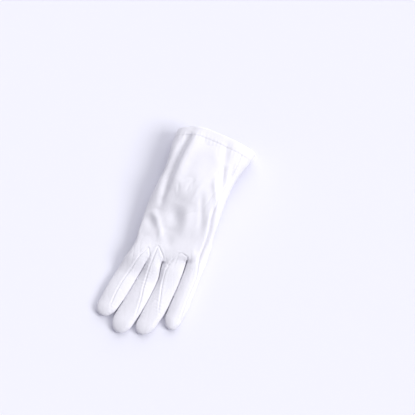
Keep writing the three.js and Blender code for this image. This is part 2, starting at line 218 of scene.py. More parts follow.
SIDE_SEAM = table(
    "y x",
    (130, 31.0), (83, 31.2), (57, 28.6), (35, 29.8), (5, 34.4), (-14, 35.2),
    (-31, 39.6), (-45, 40.2), (-60, 41.0), (-80, 42.4), (-130, 43.0),
)
# The seams along the tops of three fingers, with the finger beyond and how far from the web each starts
STRIPS = {
    "fourchette_index_middle": {
        "near": "index", "far": "middle", "notch": 10.5,
        "seam": table(
            "y x", (-20, -18.2), (-28, -21.6), (-37, -24.9), (-54, -28.4), (-74, -31.8), (-102, -32.4),
        ),
    },
    "fourchette_middle_ring": {
        "near": "middle", "far": "ring", "notch": 13.0,
        "seam": table(
            "y x", (-15, -10.9), (-30, -10.6), (-41, -10.3), (-53, -9.2), (-67, -7.2), (-77, -5.0),
            (-102, -2.2),
        ),
    },
    "fourchette_ring_little": {
        "near": "ring", "far": "little", "notch": 5.0,
        "seam": table(
            "y x", (-14, 16.2), (-19, 12.2), (-24, 9.5), (-31, 7.6), (-41, 7.2), (-51, 8.9),
            (-62, 11.8), (-73, 15.2), (-90, 20.0),
        ),
    },
}
# The y and x of each tube's tip, and how far it is moved aside while the tubes are joined, so that
# neighbours don't merge
TUBES = {
    "index": {"rows": INDEX, "tip": (-110.0, -37.0), "aside": -2.4, "aside_from": -30},
    "middle": {"rows": MIDDLE, "tip": (-120.0, -13.9), "aside": -0.8, "aside_from": -30},
    "ring": {"rows": RING, "tip": (-112.0, 9.0), "aside": 0.8, "aside_from": -27},
    "little": {"rows": LITTLE, "tip": (-94.5, 36.2), "aside": 2.4, "aside_from": -16},
    "thumb": {"rows": THUMB, "tip": (-27.0, -25.0), "aside": 0.0, "aside_from": 0},
}
FINGERS = ["index", "middle", "ring", "little"]
ASIDE_OVER = 12.0  # length over which a finger comes to lie aside
TENT = 0.35  # share of a ridge along the seam in the round top of a finger
WIDER = 0.75  # how far a finger's cloth reaches beyond its section, up to its neighbour
CLEAR = 0.35  # half of the gap between two fingers
THUMB_DOWN = 3.0  # how far the thumb is lowered while the tubes are joined
SIDE_SHARE = 0.46  # height of a finger's two sides, as a share of its own height
TIP_END, TIP_HEIGHT, TIP_LIFT = 0.985, 0.34, 1.2  # where a tip's rings end, and their height and lift there


# %% Curves through the tables
def smooth(t):
    """A soft step from 0 to 1."""
    t = np.clip(t, 0.0, 1.0)
    return t * t * (3 - 2 * t)


def ramp(low, high, value):
    """A soft step that is 0 before low and 1 past high."""
    return smooth((value - low) / (high - low))


def mix(a, b, t):
    """From a at 0 to b at 1."""
    return a + (b - a) * t


def along(rows, column, y):
    """The value of a column at any y, on a smooth curve through the rows."""
    ys, values = rows["y"], rows[column]
    last = len(ys) - 1
    before, after = np.maximum(np.arange(last + 1) - 1, 0), np.minimum(np.arange(last + 1) + 1, last)
    slope = (values[after] - values[before]) / (ys[before] - ys[after])
    i = np.clip(np.searchsorted(-ys, -np.asarray(y, dtype=float), side="right") - 1, 0, last - 1)
    span = ys[i] - ys[i + 1]
    t = np.clip((ys[i] - y) / span, 0.0, 1.0)
    return (
        (2 * t**3 - 3 * t**2 + 1) * values[i] + (t**3 - 2 * t**2 + t) * slope[i] * span
        + (3 * t**2 - 2 * t**3) * values[i + 1] + (t**3 - t**2) * slope[i + 1] * span
    )


def underside(x, y):
    """The height of the glove's underside: the floor, or the top of the folded thumb."""
    return THUMB_LIFT * (1 - ramp(-12, 6, x)) * (1 - ramp(22, 46, y)) * ramp(-60, -30, y)


def station_y(y, x):
    """Where a station of the hand lies in plan: the cuff's edge drops at its sides and the front slants."""
    drop = np.where(x < 0, CUFF_DROP_THUMB, CUFF_DROP_LITTLE) * (np.abs(x) / 44) ** 3
    slant = FRONT_SLANT * np.maximum(0, x - FRONT_SLANT_FROM)
    return y - drop * ramp(60, CUFF_Y, y) + slant * (1 - ramp(FRONT_Y, 20, y))


def section(tube, y):
    """Middle, half width, height and underside of a finger or of the thumb."""
    rows, (tip_y, tip_x) = TUBES[tube]["rows"], TUBES[tube]["tip"]
    last = rows["y"][-1]
    held = np.maximum(last, y)
    past = np.clip((last - y) / (last - tip_y), 0.0, TIP_END)
    shrink = np.sqrt(1 - past**2)
    x = along(rows, "x", held)
    low = np.zeros_like(x) if tube == "thumb" else underside(x, y)
    return {
        "x": mix(x, tip_x, past),
        "half": along(rows, "half", held) * shrink,
        "high": along(rows, "high", held) * mix(TIP_HEIGHT, 1.0, shrink),
        "low": low + (1 - shrink) * TIP_LIFT,
    }


print("palm is", round(float(along(HAND, "right", 0) - along(HAND, "left", 0)), 1), "mm wide")


# %% [markdown]
# ## One skin from six tubes
# Each tube is a loft: a ring of points for each station, joined by quads. The six closed tubes overlap, and
# a voxel remesh turns them into one even skin. Neighbouring fingers almost touch, so they are spread a
# little before the remesh and brought back after it. A boolean would keep exact seams between the tubes,
# but cloth has no such hard corners, so the remesh and some smoothing suit it better.

# %% Lofts of the tubes
def hand_surface(y, angle):
    """Points of the hand's outside. The angle runs from the little finger's side over the back."""
    left, right = along(HAND, "left", y), along(HAND, "right", y)
    across, up = np.cos(angle), np.sin(angle)
    shrink = np.sqrt(1 - np.clip((FRONT_Y + NOSE - y) / NOSE, 0.0, NOSE_END) ** 2)
    x = (left + right) / 2 + (right - left) / 2 * mix(0.93, 1.0, shrink) * across
    plan_y = station_y(y, x)
    low = underside(x, plan_y)
    edge = mix(along(HAND, "left_z", y), along(HAND, "right_z", y), smooth((x - left) / (right - left)))
    over = edge + (along(HAND, "crown", y) - edge) * np.maximum(up, 0) ** 0.75 * shrink
    under = np.maximum(low, edge - (edge - low + 2.5) * np.maximum(-up, 0) ** 0.6 * shrink)
    return np.stack([x, plan_y, np.where(up >= 0, over, under)], axis=-1)


def aside(tube, y):
    """How far a finger is moved aside at a station while the tubes are joined."""
    start = TUBES[tube]["aside_from"]
    return TUBES[tube]["aside"] * ramp(start, start - ASIDE_OVER, y)


def crest(tube, y):
    """Where the top of a finger's section has its crest, as a share of its half width: along its seam."""
    for strip in STRIPS.values():
        if strip["near"] == tube:
            s = section(tube, y)
            return np.clip((along(strip["seam"], "x", y) - s["x"]) / s["half"], -0.5, 0.5)
    return np.zeros_like(y)


def tube_surface(tube, y, angle):
    """Points of the outside of a finger or of the thumb."""
    s = section(tube, y)
    up = np.sin(angle)
    middle = s["low"] + s["high"] * SIDE_SHARE
    from_crest = np.cos(angle) - crest(tube, y)
    reach = np.where(from_crest > 0, 1 - crest(tube, y), 1 + crest(tube, y))
    tent = 1 - (np.abs(from_crest) / reach) ** 1.25
    top = mix(np.maximum(up, 0) ** 0.7, tent, 0.0 if tube == "thumb" else TENT)
    over = middle + (s["low"] + s["high"] - middle) * top
    under = np.maximum(s["low"], middle - (middle - s["low"] + 1.6) * np.maximum(-up, 0) ** 0.7)
    down = THUMB_DOWN * (1 - ramp(12, 46, y)) if tube == "thumb" else 0.0
    across = np.sign(np.cos(angle)) * np.abs(np.cos(angle)) ** 0.85
    x = s["x"] + (s["half"] + WIDER) * across + aside(tube, y)
    return np.stack([x, np.broadcast_to(y, x.shape), np.where(up >= 0, over, under) - down], axis=-1)


def loft(surface, ys, sides):
    """Points and faces of a closed tube through the stations ys."""
    angles = np.linspace(0, 2 * math.pi, sides, endpoint=False)
    y, angle = np.meshgrid(ys, angles, indexing="ij")
    points = surface(y, angle).reshape(-1, 3)
    faces = [
        (
            r * sides + s, r * sides + (s + 1) % sides,
            (r + 1) * sides + (s + 1) % sides, (r + 1) * sides + s,
        )
        for r in range(len(ys) - 1) for s in range(sides)
    ]
    faces.append(tuple(range(sides))[::-1])
    faces.append(tuple((len(ys) - 1) * sides + s for s in range(sides)))
    return points, faces


def tip_stations(last, tip, count):
    """Stations that crowd together towards a rounded end."""
    return mix(last, tip, np.sin(np.linspace(0, math.pi / 2, count))[1:] * TIP_END)


nose_stations = FRONT_Y + NOSE - NOSE * np.sin(np.linspace(0, math.pi / 2, 12))[1:] * NOSE_END
hand_stations = np.concatenate([np.linspace(CUFF_Y + 5, FRONT_Y + NOSE, 90), nose_stations])
parts = [loft(hand_surface, hand_stations, 120)]
for tube, facts in TUBES.items():
    start, last = facts["rows"]["y"][0], facts["rows"]["y"][-1]
    stations = np.concatenate([np.linspace(start, last, 60), tip_stations(last, facts["tip"][0], 14)])
    parts.append(loft(lambda y, a, tube=tube: tube_surface(tube, y, a), stations, 60))

tube_points, tube_faces = [], []
for points, faces in parts:
    shift = sum(len(p) for p in tube_points)
    tube_points.append(points)
    tube_faces += [tuple(i + shift for i in face) for face in faces]
tubes_mesh = bpy.data.meshes.new("tubes")
tubes_mesh.from_pydata(np.concatenate(tube_points).tolist(), [], tube_faces)
tubes = add_object("tubes", tubes_mesh)
print("tubes:", len(tubes_mesh.polygons), "faces")

# %% Join the tubes
VOXEL = 0.72


def applied(thing):
    """The mesh of an object as its modifiers leave it."""
    return bpy.data.meshes.new_from_object(thing.evaluated_get(bpy.context.evaluated_depsgraph_get()))


remesh = tubes.modifiers.new("one skin", "REMESH")
remesh.mode = "VOXEL"
remesh.voxel_size = VOXEL
remesh.adaptivity = 0.0
joined = applied(tubes)
bpy.data.objects.remove(tubes)
rest = np.empty(len(joined.vertices) * 3)
joined.vertices.foreach_get("co", rest)
rest = rest.reshape(-1, 3)
corners = np.empty(len(joined.loops), dtype=np.int64)
joined.loops.foreach_get("vertex_index", corners)
quads = corners.reshape(-1, 4)
print("skin:", len(rest), "points,", len(quads), "quads")


# %% Bring fingers and thumb back, and smooth the skin
THUMB_NEAR, THUMB_TOP, THUMB_ENDS = 1.2, 7.6, (-29, 44)  # what counts as the thumb's cloth
WEB_STEP, WEB_ROUNDS = 0.6, 120  # smoothing of the cloth at the webs


def sides_of(triangles):
    """The three sides of each triangle as sorted pairs of points."""
    pairs = np.concatenate([triangles[:, [0, 1]], triangles[:, [1, 2]], triangles[:, [2, 0]]])
    return np.sort(pairs, axis=1)


def neighbour_mean(values, edges):
    """The mean of each point's neighbours, for an array with one row for each point."""
    a, b = edges.T
    count = np.bincount(np.concatenate([a, b]), minlength=len(values))
    sums = [
        np.bincount(np.concatenate([a, b]), np.concatenate([column[b], column[a]]), minlength=len(values))
        for column in values.T
    ]
    return np.stack(sums, axis=1) / np.maximum(count, 1)[:, None]


def relax(points, edges, rounds):
    """Moves each point towards the mean of its neighbours and partly back, which keeps the size."""
    for _ in range(rounds):
        for step in (0.5, -0.45):
            points = points + (neighbour_mean(points, edges) - points) * step
    return points


def tube_distance(tube, points):
    """Roughly how far points lie outside a finger or the thumb."""
    s = section(tube, points[:, 1])
    wide, tall = np.maximum(s["half"], 0.5), np.maximum(s["high"] / 2, 0.5)
    flat = np.hypot((points[:, 0] - s["x"]) / wide, (points[:, 2] - s["low"] - tall) / tall) - 1
    return flat * np.minimum(wide, tall)


short = np.linalg.norm(rest[quads[:, 0]] - rest[quads[:, 2]], axis=1)
long = np.linalg.norm(rest[quads[:, 1]] - rest[quads[:, 3]], axis=1)
first = np.where((short <= long)[:, None], quads[:, [0, 1, 2]], quads[:, [0, 1, 3]])
second = np.where((short <= long)[:, None], quads[:, [0, 2, 3]], quads[:, [1, 2, 3]])
triangles = np.concatenate([first, second])
edges = np.unique(sides_of(triangles), axis=0)

x, y, z = rest.T
dropped = rest + np.array([0, 0, THUMB_DOWN]) * (1 - ramp(12, 46, y))[:, None]
on_thumb = (tube_distance("thumb", dropped) < THUMB_NEAR) & (z < THUMB_TOP)
on_thumb &= (y > THUMB_ENDS[0]) & (y < THUMB_ENDS[1])
rest[on_thumb] = dropped[on_thumb]

centres = np.stack([section(name, y)["x"] + aside(name, y) for name in FINGERS])
halves = np.stack([np.maximum(section(name, y)["half"], 3.0) for name in FINGERS])
nearest = np.argmin(np.abs(x - centres) - halves, axis=0)
moved = np.stack([aside(name, y) for name in FINGERS])[nearest, np.arange(len(y))]
rest[:, 0] -= np.where(on_thumb, 0.0, moved)

rest = relax(rest, edges, 5)
x, y, z = rest.T
for strip in STRIPS.values():
    a, b = section(strip["near"], y), section(strip["far"], y)
    valley = (a["x"] + a["half"] + b["x"] - b["half"]) / 2
    loose = 4 * ramp(-6, -1, y - station_y(FRONT_Y, valley))
    beside = (y < station_y(FRONT_Y, valley)) & ~on_thumb
    on_near = beside & (nearest == FINGERS.index(strip["near"]))
    on_far = beside & (nearest == FINGERS.index(strip["far"]))
    x = np.where(on_near, np.minimum(x, valley - CLEAR + loose), x)
    x = np.where(on_far, np.maximum(x, valley + CLEAR - loose), x)
rest[:, 0] = x
web_y = station_y(FRONT_Y, x)
junction = ramp(-9, 1, y - web_y) * (1 - ramp(9, 22, y - web_y)) * ramp(9, 13, z)
for _ in range(WEB_ROUNDS):
    rest += (neighbour_mean(rest, edges) - rest) * (WEB_STEP * junction)[:, None]
print("points on the thumb:", int(on_thumb.sum()))

# %% [markdown]
# ## Where the pieces of cloth meet
# A glove is cut as a back, a palm, a thumb and narrow strips between the fingers, with a hem at the cuff.
# Each border is the zero line of a function that grows with the distance from it. Every edge of the skin
# that crosses such a line has its nearer end moved onto it, so the skin can be cut cleanly along its own
# edges. A knife or a boolean would leave many slivers, and cloth needs even triangles for its folds. The
# few slivers that come up here are left out, and a patch cut off from its piece goes to the one beside it.

# %% Borders of the pieces
STRIP_UNDER, STRIP_FAR_TOP = 48.0, 8.0  # degrees from level of the strips' lower edges and of the far one
STRIP_START, STRIP_END = 3.5, 0.93  # distance past the web, and share of the shorter finger's length
STRIP_CLOSING = 9.0  # length of the point in which a strip ends
NOTCH_LOW = 8.0  # height above which the strips' ends lie on the back
FINGER_SEAM_Z, LITTLE_SEAM_Z = 4.8, 8.5  # height of the back's edge: fingers, and the little finger's side
THUMB_SEAM_TOP_Y, THUMB_SEAM_FLOOR_Y, THUMB_SEAM_HIGH = 27.0, 44.0, 11.0


def strip_lines(name, y):
    """The strip's seam on the near finger, the valley between the fingers, and both fingers' sections."""
    near, far, seam_rows = STRIPS[name]["near"], STRIPS[name]["far"], STRIPS[name]["seam"]
    web_x = (section(near, np.array(FRONT_Y))["x"] + section(far, np.array(FRONT_Y))["x"]) / 2
    web = float(station_y(FRONT_Y, web_x))
    end = mix(web, max(TUBES[near]["tip"][0], TUBES[far]["tip"][0]), STRIP_END)
    a, b = section(near, y), section(far, y)
    closing = ramp(end, end + STRIP_CLOSING, y)
    seam = mix(a["x"] + 0.9 * a["half"], along(seam_rows, "x", y), closing)
    valley = (a["x"] + a["half"] + b["x"] - b["half"]) / 2
    return {"a": a, "b": b, "web": web, "end": end, "closing": closing, "seam": seam, "valley": valley}


def strip_border(name, points):
    """Above 0 on the strip between two fingers."""
    x, y, z = points.T
    s = strip_lines(name, y)
    middle_a = s["a"]["low"] + s["a"]["high"] * SIDE_SHARE
    middle_b = s["b"]["low"] + s["b"]["high"] * SIDE_SHARE
    lower = np.radians(mix(10.0, STRIP_UNDER, s["closing"]))
    upper = np.radians(mix(4.0, STRIP_FAR_TOP, s["closing"]))
    near_low = (x - s["a"]["x"]) * np.sin(lower) + (z - middle_a) * np.cos(lower)
    near_side = np.where(z >= middle_a, x - s["seam"], near_low)
    far_top = (s["b"]["x"] - x) * np.sin(upper) - (z - middle_b) * np.cos(upper)
    far_low = (s["b"]["x"] - x) * np.sin(lower) + (z - middle_b) * np.cos(lower)
    far_side = np.maximum(s["valley"] - x, np.where(z >= middle_b, far_top, far_low))
    length = np.minimum(s["web"] + STRIP_START - y, y - s["end"])
    between = np.minimum(np.minimum(near_side, far_side), length)

    start_y, stop_y = s["web"] + STRIPS[name]["notch"], s["web"] + STRIP_START
    start_x = float(strip_lines(name, np.array(start_y))["seam"])
    stop = strip_lines(name, np.array(stop_y))
    t = (start_y - y) / (start_y - stop_y)
    notch = np.minimum(x - s["seam"], mix(start_x + 0.2, float(stop["valley"]), np.minimum(t, 1)) - x)
    notch = np.minimum(np.minimum(notch, z - NOTCH_LOW), np.minimum(start_y - y, y - stop_y + 2))
    return np.maximum(between, notch)


def back_border(points):
    """Above 0 on the back of the glove."""
    x, y, z = points.T
    seam = along(SIDE_SEAM, "x", np.clip(y, -130, 130))
    on_fingers = ramp(-25, -60, y)
    left_z = mix(along(HAND, "left_z", np.clip(y, -30, 125)), FINGER_SEAM_Z, on_fingers)
    level = mix(left_z, mix(LITTLE_SEAM_Z, FINGER_SEAM_Z, on_fingers), smooth((x + 20) / 40))
    return np.minimum(seam - x, z - level)


def thumb_border(points):
    """Above 0 on the thumb's side of its slanting seam."""
    y, z = points[:, 1], points[:, 2]
    return mix(THUMB_SEAM_FLOOR_Y, THUMB_SEAM_TOP_Y, np.clip(z, 0, 12) / THUMB_SEAM_HIGH) - y


def hem_border(points):
    """Above 0 on the hem."""
    return points[:, 1] - station_y(CUFF_Y - HEM_WIDTH, points[:, 0])


def cuff_border(points):
    """Above 0 past the cuff's edge, where there is no cloth."""
    return points[:, 1] - station_y(CUFF_Y, points[:, 0])


# %% Move the skin's points onto the borders
def settle(points, edges, values):
    """Moves the nearer end of each edge that crosses a border onto it, and returns the new values."""
    a, b = edges.T
    crossing = values[a] * values[b] < 0
    a, b = a[crossing], b[crossing]
    t = values[a] / (values[a] - values[b])
    near = np.where(t < 0.5, a, b)
    target = points[a] + (points[b] - points[a]) * t[:, None]
    count = np.bincount(near, minlength=len(points))
    hit = count > 0
    for axis in range(3):
        total = np.bincount(near, target[:, axis], minlength=len(points))
        points[hit, axis] = total[hit] / count[hit]
    values = values.copy()
    values[hit] = 0.0
    return values


thumb_side = on_thumb & (tube_distance("thumb", rest) < THUMB_NEAR)
borders = {}
for name, border in [
    ("cuff", cuff_border), ("cuff_hem", hem_border), ("thumb", thumb_border), ("back_panel", back_border),
    *[(strip, lambda p, strip=strip: strip_border(strip, p)) for strip in STRIPS],
]:
    values = border(rest)
    if name == "thumb":
        values = np.where(thumb_side, values, np.minimum(values, -0.5))
    borders[name] = settle(rest, edges, values)
print("points on each border:", {name: int((values == 0).sum()) for name, values in borders.items()})

# %% Give each triangle to a piece
SLIVER_HEIGHT = 0.12


def triangle_pairs():
    """The two triangles beside each edge of the skin."""
    sides = sides_of(triangles)
    keys = sides[:, 0] * len(rest) + sides[:, 1]
    order = np.argsort(keys, kind="stable")
    same = keys[order[1:]] == keys[order[:-1]]
    return order[:-1][same] % len(triangles), order[1:][same] % len(triangles)


def bodies_of(label, first, second):
    """One number for all the triangles of a piece that hang together."""
    same = label[first] == label[second]
    a, b = first[same], second[same]
    body = np.arange(len(label))
    while (body[a] != body[b]).any():
        lowest = np.minimum(body[a], body[b])
        np.minimum.at(body, body[a], lowest)
        np.minimum.at(body, body[b], lowest)
        while (body[body] != body).any():
            body = body[body]
    return body


def find_slivers(points):
    """The triangles on a border that are almost a line: no thickness can grow from them."""
    a, b, c = (points[triangles[:, i]] for i in range(3))
    longest = np.max([np.linalg.norm(side, axis=1) for side in (b - a, c - b, a - c)], axis=0)
    height = np.linalg.norm(np.cross(b - a, c - a), axis=1) / np.maximum(longest, 1e-9)
    along_border = np.any([(values[triangles] == 0).all(axis=1) for values in borders.values()], axis=0)
    return along_border & (height < SLIVER_HEIGHT)


NAMES = ["palm_panel", "back_panel", *STRIPS, "thumb", "cuff_hem"]
label = np.zeros(len(triangles), dtype=int)
for name in NAMES[1:]:
    label[borders[name][triangles].sum(axis=1) > 0] = NAMES.index(name)
label[borders["cuff"][triangles].min(axis=1) >= 0] = -1

first, second = triangle_pairs()
body = bodies_of(label, first, second)
body_sizes = np.bincount(body, minlength=len(label))
main_bodies = [body[label == i][np.argmax(body_sizes[body[label == i]])] for i in range(len(NAMES))]
loose_patches = np.setdiff1d(np.unique(body[label >= 0]), main_bodies)
for patch in loose_patches:
    beside = np.concatenate([label[second[body[first] == patch]], label[first[body[second] == patch]]])
    others = beside[(beside != label[patch]) & (beside >= 0)]
    if len(others):
        label[body == patch] = np.bincount(others).argmax()
sliver = find_slivers(rest)
print("loose patches given to the piece beside them:", len(loose_patches))
print("slivers left out:", int((sliver & (label >= 0)).sum()))
print({name: int((label == i).sum()) for i, name in enumerate(NAMES)})

# %% [markdown]
# ## Folds and creases
# The cloth keeps the shape of a hand that has gone. Its folds are soft valleys and ridges that run along
# the wrist, a sharp crease beside the side seam, and a hollow in the middle of the back. Each is a path
# seen from above, with a width and a depth, and it moves the skin along its own normal. A cloth simulation
# would fold somewhere else each time a size changes, and these folds have to lie where the real ones do.

# %% Fold paths
# Each fold has a half width and a path seen from above: x, y and its depth there in mm, ridges below 0
FOLDS = {
    "thumb side valley": (4.0, [
        (-28, 110, 0.6), (-29.5, 99, 3.0), (-30.5, 88, 3.6), (-31, 72, 3.7), (-30.5, 56, 3.4),
        (-29.5, 42, 2.8), (-28, 30, 2.0), (-26, 18, 0.6),
    ]),
    "thumb side ridge": (3.2, [(-38.5, 96, 0), (-38, 76, -0.9), (-38, 50, -0.9), (-36.5, 26, 0)]),
    "wrist crest": (6.5, [(-20, 116, 0), (-22, 98, -2.0), (-23.5, 76, -2.2), (-22, 56, -1.8), (-19, 38, 0)]),
    "wrist hollow": (8.0, [(1, 104, 0), (1, 82, 1.2), (0, 56, 0)]),
    "wrist crease": (2.4, [(19, 92, 0.2), (22, 81, 1.9), (25.5, 71, 1.9), (27, 60, 0.2)]),
    "crease at the side seam": (2.0, [(28.8, 96, 0), (30.2, 83, 1.6), (30.5, 72, 0)]),
    "cuff hollow": (4.6, [(12, 117, 0.2), (14, 106, 1.8), (16, 98, 1.8), (19, 86, 0.2)]),
    "side seam crease": (2.0, [
        (28, 46, 0), (29, 38, 2.2), (31, 28, 2.8), (33.4, 18, 2.8), (34.6, 7, 2.4), (34.2, -6, 2.0),
        (35.4, -18, 1.8), (38, -29, 0),
    ]),
    "side seam ridge": (2.4, [(25, 44, 0), (27.5, 26, -1.0), (30.5, 6, 0)]),
    "hollow of the back": (8.0, [(-9, 32, 0.8), (-8, 18, 3.0), (-6, 4, 0.8)]),
    "beside the hollow": (6.0, [(3, 36, 0), (6, 18, -1.8), (8, -4, 0)]),
    "slanting hollow": (3.2, [(9, 54, 0), (14, 40, 1.1), (18, 31, 1.2), (21.5, 22, 1.0), (24, 6, 0)]),
    "slanting ridge": (3.0, [(14, 78, 0), (19, 64, -1.5), (23.5, 56, -1.5), (29, 44, 0)]),
    "short ridge": (2.6, [(8, 70, 0), (4, 50, -0.7), (2, 32, 0)]),
    "thumb root ridge": (3.6, [(-36, 15, 0), (-24, 8, -1.3), (-15, -4, -1.3), (-9, -16, 0)]),
    "thumb root hollow": (4.6, [(-37, 10, 0), (-30, 2, 1.3), (-22, -7, 0)]),
    "short crease a": (2.0, [(-4, 64, 0), (-6, 52, 0.6), (-7, 40, 0)]),
    "short crease b": (1.8, [(-19, 54, 0), (-16, 46, 0.5), (-14, 38, 0)]),
    "knuckle hollow, middle": (5.0, [(-4, 0, 0), (-3, -10, 0.9), (-2, -20, 0)]),
    "knuckle hollow, little": (3.4, [(29, 6, 0), (30, -6, 0.9), (31, -16, 0)]),
}


def fold_depth(half, path, x, y):
    """How deep one fold lies at points in plan: its depth at the nearest place, fading sideways."""
    nearest, deep = np.full(len(x), np.inf), np.zeros(len(x))
    for (ax, ay, a_deep), (bx, by, b_deep) in zip(path, path[1:]):
        long = (bx - ax) ** 2 + (by - ay) ** 2
        t = np.clip(((x - ax) * (bx - ax) + (y - ay) * (by - ay)) / long, 0, 1)
        away = np.hypot(x - mix(ax, bx, t), y - mix(ay, by, t))
        closer = away < nearest
        nearest = np.where(closer, away, nearest)
        deep = np.where(closer, mix(a_deep, b_deep, smooth(t)), deep)
    return deep * np.exp(-(nearest / half) ** 2)


def point_normals(points, triangles):
    """The normal at each point, from the triangles round it."""
    a, b, c = (points[triangles[:, i]] for i in range(3))
    flat = np.cross(b - a, c - a)
    total = np.stack([
        np.bincount(triangles.ravel(), np.repeat(flat[:, axis], 3), minlength=len(points))
        for axis in range(3)
    ], axis=1)
    return total / np.maximum(np.linalg.norm(total, axis=1), 1e-12)[:, None]


def wave(points, scale, seed):
    """Soft noise from about -0.5 to 0.5 at each point, with a size in mm along each axis."""
    size = np.array(scale, dtype=float)
    return np.array([noise.noise(Vector(p)) for p in points / size + seed]) * 0.5


def crease(points, scale, seed):
    """Noise of narrow lines: 1 on a line and falling to 0 away from it."""
    return np.clip(1 - np.abs(wave(points, scale, seed)) * 9, 0, 1) ** 2


print("folds:", len(FOLDS))

# %% Press the folds into the skin
BROAD_DEPTH, SLACK_DEPTH, SLACK_AT_WRIST = 1.35, 0.15, 0.25  # soft unevenness, and loose creases
TIGHT_AT_WEBS, TIGHT_ON_FINGERS = 0.3, 0.1  # small creases
LEFT_LEAN = np.array([[0.92, 0.39, 0], [-0.39, 0.92, 0], [0, 0, 1]])  # turns the loose creases
RIGHT_LEAN = np.array([[0.95, -0.3, 0], [0.3, 0.95, 0], [0, 0, 1]])  # turns the small ones

x, y, z = rest.T
normals = point_normals(rest, triangles)
facing_up = smooth((normals[:, 2] + 0.15) / 0.75)
on_hand = ramp(-10, 4, y - station_y(FRONT_Y, x))
folds = np.zeros(len(rest))
for half, path in FOLDS.values():
    folds += fold_depth(half, path, x, y)

near_wrist = np.exp(-((y - 58) / 34) ** 2)
near_webs = np.exp(-((y - station_y(FRONT_Y, x) - 3) / 10) ** 2)
broad = wave(rest, (17, 34, 24), 3.1)
slack = crease(rest @ LEFT_LEAN, (15, 42, 30), 11.7)
tight = crease(rest @ RIGHT_LEAN, (8, 26, 30), 23.3)
press = folds * on_hand + broad * BROAD_DEPTH
press += (SLACK_DEPTH + SLACK_AT_WRIST * near_wrist) * slack * on_hand
press += (TIGHT_AT_WEBS * near_webs + TIGHT_ON_FINGERS * (1 - on_hand)) * tight
cloth = rest - normals * (press * facing_up)[:, None]
print("deepest fold:", round(float((press * facing_up).max()), 1), "mm")

# %% [markdown]
# ## Seams
# Each seam of the glove is sewn inside, so outside it shows as a fine furrow with small puckers where the
# thread pulls. The distance of each point to the nearest border gives the furrow, and a ripple along the
# glove's length gives the puckers. Lines drawn by a material would look flat from the side.

# %% Furrows along the seams
LOWEST = 0.02  # least height above the floor
REACH = 9.0  # distance up to which a seam is looked for
SEAM_HALF, SEAM_DEPTH = 0.8, 0.5
SEAM_AT_TIP, SEAM_FADES = 0.15, (2, 18)  # how much of a seam is left at a fingertip, and where it fades
PUCKER_REACH, PUCKER_DEPTH, PUCKER_LENGTH = 2.6, 0.10, 3.7
ROLL_HEIGHT, ROLL_AWAY, ROLL_HALF = 0.14, 1.8, 1.1  # the cloth swells beside each seam
HEM_RISE, HEM_RISE_OVER, HEM_FURROW = 0.3, 1.4, 0.06
HEM_WAVE_DEPTH, HEM_WAVE_REACH, HEM_WAVE_LENGTH = 0.12, 4.0, 4.2
EDGE_ROUND, EDGE_OVER = 0.55, 1.4  # how far the cuff's edge rounds inwards, and over what length

low_label = np.full(len(rest), 99)
high_label = np.full(len(rest), -9)
np.minimum.at(low_label, triangles.ravel(), np.repeat(label, 3))
np.maximum.at(high_label, triangles.ravel(), np.repeat(label, 3))
between_pieces = (low_label != high_label) & (low_label >= 0)


def distance_to(chosen, reach):
    """The distance from each point to the nearest of the chosen ones, up to a reach."""
    tree = KDTree(int(chosen.sum()))
    for i, p in enumerate(rest[chosen]):
        tree.insert(p, i)
    tree.balance()
    return np.array([min(reach, tree.find(p)[2]) for p in rest])


hem_line = between_pieces & (high_label == NAMES.index("cuff_hem"))
seam_line = between_pieces & ~hem_line
to_seam = distance_to(seam_line, REACH)
to_hem = distance_to(hem_line, REACH)
to_cuff = np.maximum(0.0, -borders["cuff"])

fading = np.ones(len(rest))
for name, strip in STRIPS.items():
    end = strip_lines(name, y)["end"]
    left = mix(SEAM_AT_TIP, 1.0, ramp(end + SEAM_FADES[0], end + SEAM_FADES[1], y))
    fading = np.where(nearest == FINGERS.index(strip["near"]), left, fading)

normals = point_normals(cloth, triangles)
furrow = SEAM_DEPTH * fading * np.exp(-(to_seam / SEAM_HALF) ** 2)
uneven = smooth(wave(rest, (13, 13, 13), 57.0) * 3 + 0.5)
ripple = uneven * np.sin(y * 2 * math.pi / PUCKER_LENGTH + 5 * wave(rest, (9, 9, 9), 41.0))
pucker = PUCKER_DEPTH * np.exp(-((to_seam - 1.3) / PUCKER_REACH) ** 2) * ripple
roll = ROLL_HEIGHT * fading * np.exp(-((to_seam - ROLL_AWAY) / ROLL_HALF) ** 2)
hem_step = HEM_FURROW * np.exp(-(to_hem / 0.7) ** 2) - HEM_RISE * smooth(borders["cuff_hem"] / HEM_RISE_OVER)
hem_wave = HEM_WAVE_DEPTH * np.exp(-(to_hem / HEM_WAVE_REACH) ** 2)
hem_wave *= np.sin(x * 2 * math.pi / HEM_WAVE_LENGTH)
from_edge = 1 - np.minimum(to_cuff, EDGE_OVER) / EDGE_OVER
edge_round = EDGE_ROUND * (1 - np.sqrt(np.clip(1 - from_edge**2, 0, 1)))
cloth = cloth - normals * (furrow + pucker - roll + hem_step + hem_wave + edge_round)[:, None]
cloth[:, 2] = np.maximum(cloth[:, 2], LOWEST)
print("seam points:", int(seam_line.sum()))

# %% [markdown]
# ## Pieces of cloth
# The skin is cut along the borders. Each piece becomes its own object, gets the cloth's thickness from a
# Solidify modifier that grows inwards, and carries a UV map whose unit is a metre of cloth: across the
# glove and along it. The knit follows that map. It is found by conjugate gradients, a way to fit all the
# lengths across the cloth at once.

# %% Unroll the cloth
PALM_LINE = 4.0  # where the map is cut open under the palm
UNROLL_ROUNDS = 250


